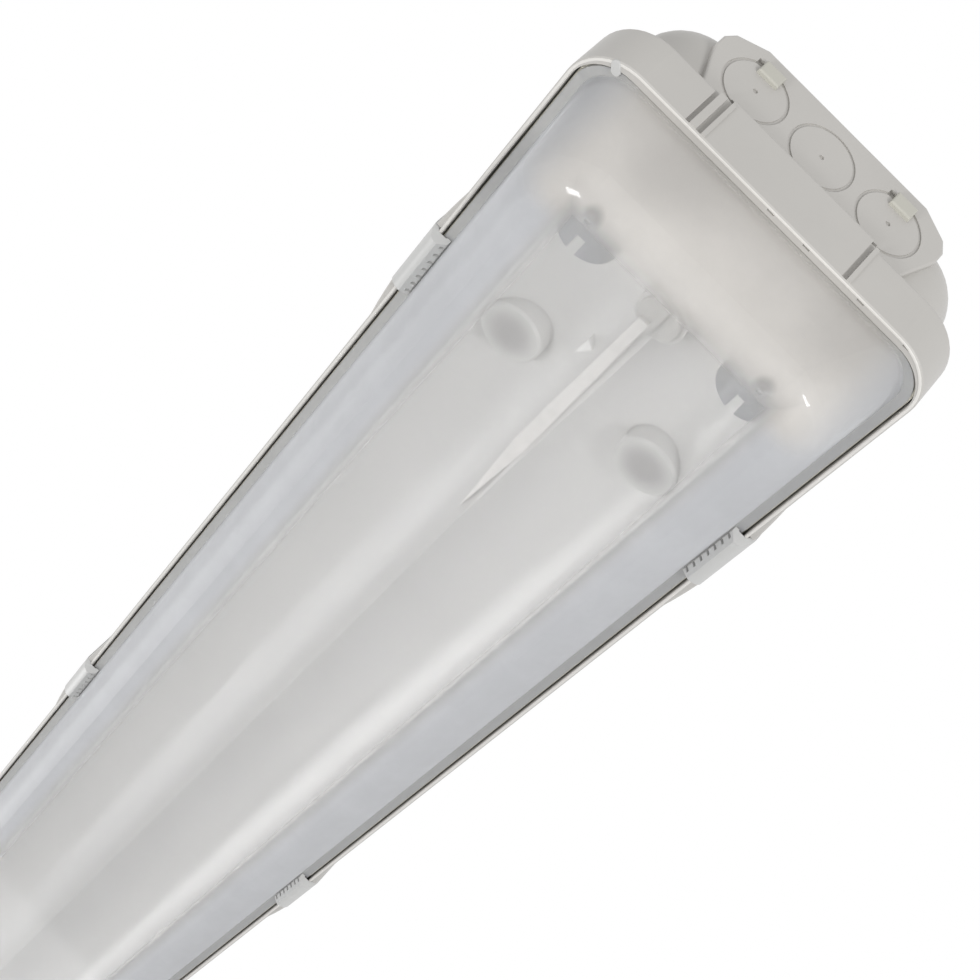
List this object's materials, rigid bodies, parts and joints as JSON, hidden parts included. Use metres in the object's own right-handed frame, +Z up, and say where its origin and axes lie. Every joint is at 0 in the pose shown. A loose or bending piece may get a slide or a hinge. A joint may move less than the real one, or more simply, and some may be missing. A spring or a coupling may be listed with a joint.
{
  "type": "outdoor ceiling light",
  "caption": "Long sealed ceiling light: grey moulded tub, clear cover held by side clips, white ridged gear tray with lamp holders and starters, knock-outs in the ends.",
  "frame": {"origin": "middle of the ceiling face, between the two slots of the ceiling brackets", "axes": "+X along the light, towards the end nearest in the picture; +Y across it; +Z up, towards the ceiling"},
  "size_m": [1.2708, 0.1342, 0.081],
  "materials": {
    "housing_plastic": "satin light grey",
    "lug_plastic": "satin light grey",
    "cover_clear": "clear, faintly frosted at the sides",
    "seal_foam": "matte grey foam",
    "tray_white": "white gloss",
    "holder_plastic": "satin white",
    "rotor_plastic": "satin white",
    "starter_case": "satin light grey",
    "clip_plastic": "satin light grey",
    "fastener_plastic": "satin white",
    "ballast_case": "satin grey",
    "capacitor_case": "satin",
    "terminal_plastic": "satin off-white",
    "wire_jacket": "satin grey",
    "earth_brass": "satin",
    "strap_plastic": "satin natural",
    "bracket_steel": "brushed"
  },
  "bodies": {
    "body": {"housing": "housing_plastic", "end_lugs": "lug_plastic", "diffuser": "cover_clear", "gasket": "seal_foam", "gear_tray": "tray_white", "terminal_block": "terminal_plastic", "capacitor": "capacitor_case", "ballast_front": "ballast_case", "ballast_rear": "ballast_case", "earth_terminal": "earth_brass", "tray_straps": "strap_plastic", "ceiling_bracket_front": "bracket_steel", "ceiling_bracket_rear": "bracket_steel", "starter_holder_left": "holder_plastic", "wiring_left": "wire_jacket", "lamp_holder_front_left": "holder_plastic", "lamp_holder_rear_left": "holder_plastic", "starter_holder_right": "holder_plastic", "wiring_right": "wire_jacket", "lamp_holder_front_right": "holder_plastic", "lamp_holder_rear_right": "holder_plastic"},
    "tray_fastener_front": {"tray_fastener_front": "fastener_plastic"},
    "tray_fastener_rear": {"tray_fastener_rear": "fastener_plastic"},
    "starter_left": {"starter_left": "starter_case"},
    "lamp_rotor_front_left": {"lamp_rotor_front_left": "rotor_plastic"},
    "lamp_rotor_rear_left": {"lamp_rotor_rear_left": "rotor_plastic"},
    "clip_left_1": {"clip_left_1": "clip_plastic"},
    "clip_left_2": {"clip_left_2": "clip_plastic"},
    "clip_left_3": {"clip_left_3": "clip_plastic"},
    "clip_left_4": {"clip_left_4": "clip_plastic"},
    "starter_right": {"starter_right": "starter_case"},
    "lamp_rotor_front_right": {"lamp_rotor_front_right": "rotor_plastic"},
    "lamp_rotor_rear_right": {"lamp_rotor_rear_right": "rotor_plastic"},
    "clip_right_1": {"clip_right_1": "clip_plastic"},
    "clip_right_2": {"clip_right_2": "clip_plastic"},
    "clip_right_3": {"clip_right_3": "clip_plastic"},
    "clip_right_4": {"clip_right_4": "clip_plastic"}
  },
  "joints": [
    {"name": "tray_fastener_front_turn", "type": "hinge", "parent": "body", "child": "tray_fastener_front", "pos_m": [0.578, 0, -0.048], "axis": [0, 0, 1], "range_deg": [0, 90]},
    {"name": "tray_fastener_rear_turn", "type": "hinge", "parent": "body", "child": "tray_fastener_rear", "pos_m": [-0.578, 0, -0.048], "axis": [0, 0, 1], "range_deg": [0, 90]},
    {"name": "starter_left_turn", "type": "hinge", "parent": "body", "child": "starter_left", "pos_m": [0.525, -0.0285, -0.046], "axis": [0, 0, 1], "range_deg": [0, 45]},
    {"name": "lamp_rotor_front_left_turn", "type": "hinge", "parent": "body", "child": "lamp_rotor_front_left", "pos_m": [0.6045, -0.03, -0.0625], "axis": [1, 0, 0], "range_deg": [0, 90]},
    {"name": "lamp_rotor_rear_left_turn", "type": "hinge", "parent": "body", "child": "lamp_rotor_rear_left", "pos_m": [-0.6045, -0.03, -0.0625], "axis": [1, 0, 0], "range_deg": [0, 90]},
    {"name": "clip_left_1_swing", "type": "hinge", "parent": "body", "child": "clip_left_1", "pos_m": [0.52, -0.06485, -0.0305], "axis": [-1, 0, 0], "range_deg": [0, 95]},
    {"name": "clip_left_2_swing", "type": "hinge", "parent": "body", "child": "clip_left_2", "pos_m": [0.17333, -0.06485, -0.0305], "axis": [-1, 0, 0], "range_deg": [0, 95]},
    {"name": "clip_left_3_swing", "type": "hinge", "parent": "body", "child": "clip_left_3", "pos_m": [-0.17333, -0.06485, -0.0305], "axis": [-1, 0, 0], "range_deg": [0, 95]},
    {"name": "clip_left_4_swing", "type": "hinge", "parent": "body", "child": "clip_left_4", "pos_m": [-0.52, -0.06485, -0.0305], "axis": [-1, 0, 0], "range_deg": [0, 95]},
    {"name": "starter_right_turn", "type": "hinge", "parent": "body", "child": "starter_right", "pos_m": [0.525, 0.0285, -0.046], "axis": [0, 0, 1], "range_deg": [0, 45]},
    {"name": "lamp_rotor_front_right_turn", "type": "hinge", "parent": "body", "child": "lamp_rotor_front_right", "pos_m": [0.6045, 0.03, -0.0625], "axis": [1, 0, 0], "range_deg": [0, 90]},
    {"name": "lamp_rotor_rear_right_turn", "type": "hinge", "parent": "body", "child": "lamp_rotor_rear_right", "pos_m": [-0.6045, 0.03, -0.0625], "axis": [1, 0, 0], "range_deg": [0, 90]},
    {"name": "clip_right_1_swing", "type": "hinge", "parent": "body", "child": "clip_right_1", "pos_m": [0.52, 0.06485, -0.0305], "axis": [1, 0, 0], "range_deg": [0, 95]},
    {"name": "clip_right_2_swing", "type": "hinge", "parent": "body", "child": "clip_right_2", "pos_m": [0.17333, 0.06485, -0.0305], "axis": [1, 0, 0], "range_deg": [0, 95]},
    {"name": "clip_right_3_swing", "type": "hinge", "parent": "body", "child": "clip_right_3", "pos_m": [-0.17333, 0.06485, -0.0305], "axis": [1, 0, 0], "range_deg": [0, 95]},
    {"name": "clip_right_4_swing", "type": "hinge", "parent": "body", "child": "clip_right_4", "pos_m": [-0.52, 0.06485, -0.0305], "axis": [1, 0, 0], "range_deg": [0, 95]}
  ]
}
